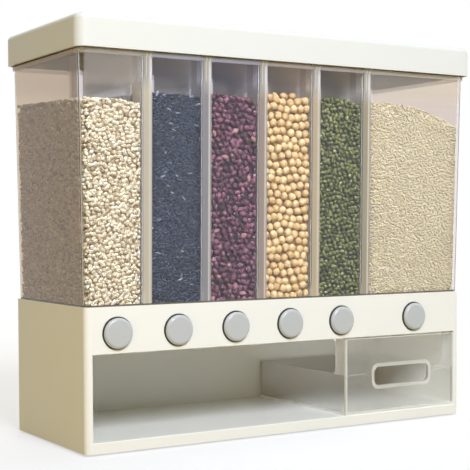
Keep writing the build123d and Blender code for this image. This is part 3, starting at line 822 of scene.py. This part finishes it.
seal_silicone = moulded_plastic("seal_silicone", (0.42, 0.43, 0.43, 1), 0.6, cloud=0.05, skin=0.2)
dress("lid_seal", seal_silicone)

# Lid: a deep cover in white ABS, a little glossier than the base, that lifts off for filling.
# Its skirt hangs over the tank's rim and its top edge is rounded.

lid_plastic = moulded_plastic("lid_plastic", (0.775, 0.785, 0.745, 1), 0.32, cloud=0.01, skin=0.05,
                              gloss_spread=0.015)
dress("lid", lid_plastic)

# Cup: a drawer-like scoop in frosted polypropylene, with a finger slot in its tall front.
# It stands loose on the shelf and slides out. Its milky wall scatters the light that passes it.

cup_milk = panel_milk = 0.10
# Besides the frost: shares of painted highlight on the cup's edges, slot rim and bottom seam.
wing_milk, cup_edge_highlight, rim_highlight = 0.30, 0.70, 0.50
low_edge_highlight, back_edge_highlight, seam_highlight = 0.25, 0.60, 0.85
cup_wall, cup_low_height, slot_rim_proud, rim_reach = 0.002, 0.036, 0.001, 0.9
skin_margin, seam_margin, edge_margin, top_margin = 0.0003, 0.0002, 0.0004, 0.0006
cup_roughness, cup_ripple, cup_glint = 0.16, 0.05, 0.35
panel_tint = (0.86, 0.855, 0.80, 1)
box_tint = (0.99, 0.99, 0.97, 1)
cup_lamp_tint = (0.96, 0.955, 0.94, 1)


def frosted_plastic(name, colour, roughness, lamp_tint):
    """Milky plastic: rough clear plastic whose upper side strips are denser, and whose thin edges, bottom
    seam, back edge and raised rim of the slot are made milky white as painted highlights."""
    finish = clear_plastic(name, colour, roughness, lamp_tint, cup_ripple, cup_glint)
    tree = finish.node_tree
    x, y, z = apart(tree, tree.nodes["Texture Coordinate"].outputs["Object"])
    low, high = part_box("cup")
    front = reckon(tree, "LESS_THAN", y, low.y + slot_rim_proud + cup_wall + skin_margin)
    wing = product(tree, reckon(tree, "GREATER_THAN", z, low.z + cup_low_height),
                   reckon(tree, "SUBTRACT", 1.0, front))
    rim = reckon(tree, "LESS_THAN", y, low.y + slot_rim_proud * rim_reach)
    off_middle = reckon(tree, "ABSOLUTE", reckon(tree, "SUBTRACT", x, (low.x + high.x) / 2))
    at_side = reckon(tree, "GREATER_THAN", off_middle, (high.x - low.x) / 2 - cup_wall)
    top_edge = reckon(tree, "GREATER_THAN", z, high.z - top_margin)
    off_low_edge = reckon(tree, "ABSOLUTE", reckon(tree, "SUBTRACT", z, low.z + cup_low_height))
    low_edge = reckon(tree, "LESS_THAN", off_low_edge, edge_margin)
    back_edge = reckon(tree, "GREATER_THAN", y, high.y - edge_margin)
    edge = most(tree, product(tree, front, at_side), top_edge)
    at_wall = most(tree, at_side, front, reckon(tree, "GREATER_THAN", y, high.y - cup_wall))
    seam = product(tree, reckon(tree, "LESS_THAN", z, low.z + cup_wall + seam_margin), at_wall)
    # The milky share: frost all over, with painted highlights on the thin edges, low wall's top edge, back
    # edge, bottom seam and slot rim.
    haze_and_painted_light = most(tree, cup_milk, *(product(tree, place, share) for place, share in (
        (front, panel_milk), (wing, wing_milk), (edge, cup_edge_highlight), (rim, rim_highlight),
        (low_edge, low_edge_highlight), (back_edge, back_edge_highlight), (seam, seam_highlight))))
    shader = tree.nodes["Principled BSDF"]
    tree.links.new(reckon(tree, "SUBTRACT", 1.0, haze_and_painted_light), shader.inputs["Transmission Weight"])
    tree.links.new(blended(tree, front, box_tint, colour), shader.inputs["Base Color"])
    return finish


dress("cup", frosted_plastic("frosted_plastic", panel_tint, cup_roughness, cup_lamp_tint))

# Floor, lamps and camera: a plain pale studio. Floor and world show white to the camera and in clear and
# shiny surfaces, and give matt ones a warm dim light. From below, the floor is clear. Five soft lamps light
# the object, and three of them don't show in the clear walls.

floor_half, floor_roughness = 3.0, 0.9
floor_seen = (0.93, 0.93, 0.93, 1)
floor_under = (0.50, 0.41, 0.21, 1)
fade_start, fade_end, fade_low = 0.35, 1.3, 0.6
world_warmth, world_strength = (1.0, 0.88, 0.42, 1), 0.18
lamp_target = np.array([0.0, 0.0, 0.17])
warm_lamp = (1.0, 0.97, 0.92)


def seen_rays(tree):
    """One for a ray from the camera or one that a shiny or clear surface passes on, as long as no matt
    surface has scattered it on its way, else nought."""
    ray = tree.nodes.new("ShaderNodeLightPath").outputs
    direct = reckon(tree, "LESS_THAN", ray["Diffuse Depth"], 0.5)
    passed = most(tree, ray["Is Camera Ray"], ray["Is Glossy Ray"], ray["Is Transmission Ray"])
    return product(tree, passed, direct)


floor_finish, tree, floor_shader, place = new_finish("studio_floor")
floor_shader.inputs["Roughness"].default_value = floor_roughness
reach = tree.nodes.new("ShaderNodeVectorMath")
reach.operation = "LENGTH"
tree.links.new(place, reach.inputs[0])
fade = ramp(tree, reach.outputs["Value"], fade_start, fade_end, low=fade_low)
fade.node.interpolation_type = "SMOOTHSTEP"
seen = seen_rays(tree)
tree.links.new(blended(tree, seen, floor_under, floor_seen), floor_shader.inputs["Base Color"])
white = tree.nodes.new("ShaderNodeEmission")
unseen = tree.nodes.new("ShaderNodeBsdfTransparent")
from_above = mixed(tree, product(tree, fade, seen), floor_shader.outputs["BSDF"], white.outputs["Emission"])
below = tree.nodes.new("ShaderNodeNewGeometry").outputs["Backfacing"]
tree.links.new(mixed(tree, below, from_above, unseen.outputs["BSDF"]),
               tree.nodes["Material Output"].inputs["Surface"])
floor_mesh = mesh_piece(
    "studio_floor", np.array([[-1, -1, 0], [1, -1, 0], [1, 1, 0], [-1, 1, 0]]) * floor_half,
    np.array([[0, 1, 2], [0, 2, 3]]), [floor_finish], smooth=False)

world = bpy.data.worlds.new("studio")
bpy.context.scene.world = world
world.use_nodes = True
tree = world.node_tree
ambient = tree.nodes["Background"]
ambient.inputs["Color"].default_value = world_warmth
ambient.inputs["Strength"].default_value = world_strength
plain = tree.nodes.new("ShaderNodeBackground")
plain.inputs["Color"].default_value = (1, 1, 1, 1)
tree.links.new(mixed(tree, seen_rays(tree), ambient.outputs["Background"], plain.outputs["Background"]),
               tree.nodes["World Output"].inputs["Surface"])


def facing(place, look, roll=0.0):
    """Where a lamp or camera at place stands, looking along a direction with its top upwards, then rolled."""
    forward = Vector(look).normalized()
    side = forward.cross(Vector((0, 0, 1))).normalized()
    top = side.cross(forward)
    turned = side * math.cos(roll) + top * math.sin(roll)
    raised = top * math.cos(roll) - side * math.sin(roll)
    return Matrix([[turned[k], raised[k], -forward[k], place[k]] for k in range(3)] + [[0, 0, 0, 1]])


def soft_lamp(name, place, size, power, colour=(1, 1, 1), shown=True):
    """A square soft lamp aimed at the object's middle, which shows in and through clear walls or doesn't."""
    lamp = bpy.data.lights.new(name, "AREA")
    lamp.size = size
    lamp.energy = power
    lamp.color = colour
    holder = bpy.data.objects.new(name, lamp)
    bpy.context.scene.collection.objects.link(holder)
    holder.matrix_world = facing(place, lamp_target - np.array(place))
    holder.visible_transmission = shown
    holder.visible_glossy = shown


soft_lamp("front_lamp", (-0.24, -1.50, 1.27), 0.7, 31.3, (0.93, 1.0, 1.17))
soft_lamp("top_lamp", (0.1, -0.2, 2.2), 1.2, 6)
soft_lamp("back_lamp", (0.6, 1.5, 0.9), 0.9, 14.0, warm_lamp, shown=False)
soft_lamp("right_lamp", (1.5, 0.15, 0.6), 0.7, 7.0, warm_lamp, shown=False)
soft_lamp("side_lamp", (-0.8, -0.45, 0.03), 0.22, 1.32, (1.0, 0.66, 0.16), shown=False)

camera_data = bpy.data.cameras.new("camera")
camera = bpy.data.objects.new("camera", camera_data)
bpy.context.scene.collection.objects.link(camera)
bpy.context.scene.camera = camera
camera_place = (-0.5864, -0.9296, 0.1853)
camera_yaw, camera_pitch, camera_roll = (math.radians(angle) for angle in (31.63, 2.05, -0.26))
look = (math.sin(camera_yaw) * math.cos(camera_pitch), math.cos(camera_yaw) * math.cos(camera_pitch),
        -math.sin(camera_pitch))
camera.matrix_world = facing(camera_place, look, camera_roll)
photo_size, middle_row = 470, 265
camera_data.sensor_width = 36.0
camera_data.lens = 91.63
camera_data.shift_y = (middle_row - photo_size / 2) / photo_size
camera_data.clip_start = 0.01

bpy.context.scene.view_settings.view_transform = "Standard"
most_bounces = 28
bounces = bpy.context.scene.cycles
bounces.max_bounces = bounces.transmission_bounces = most_bounces
bounces.transparent_max_bounces = most_bounces
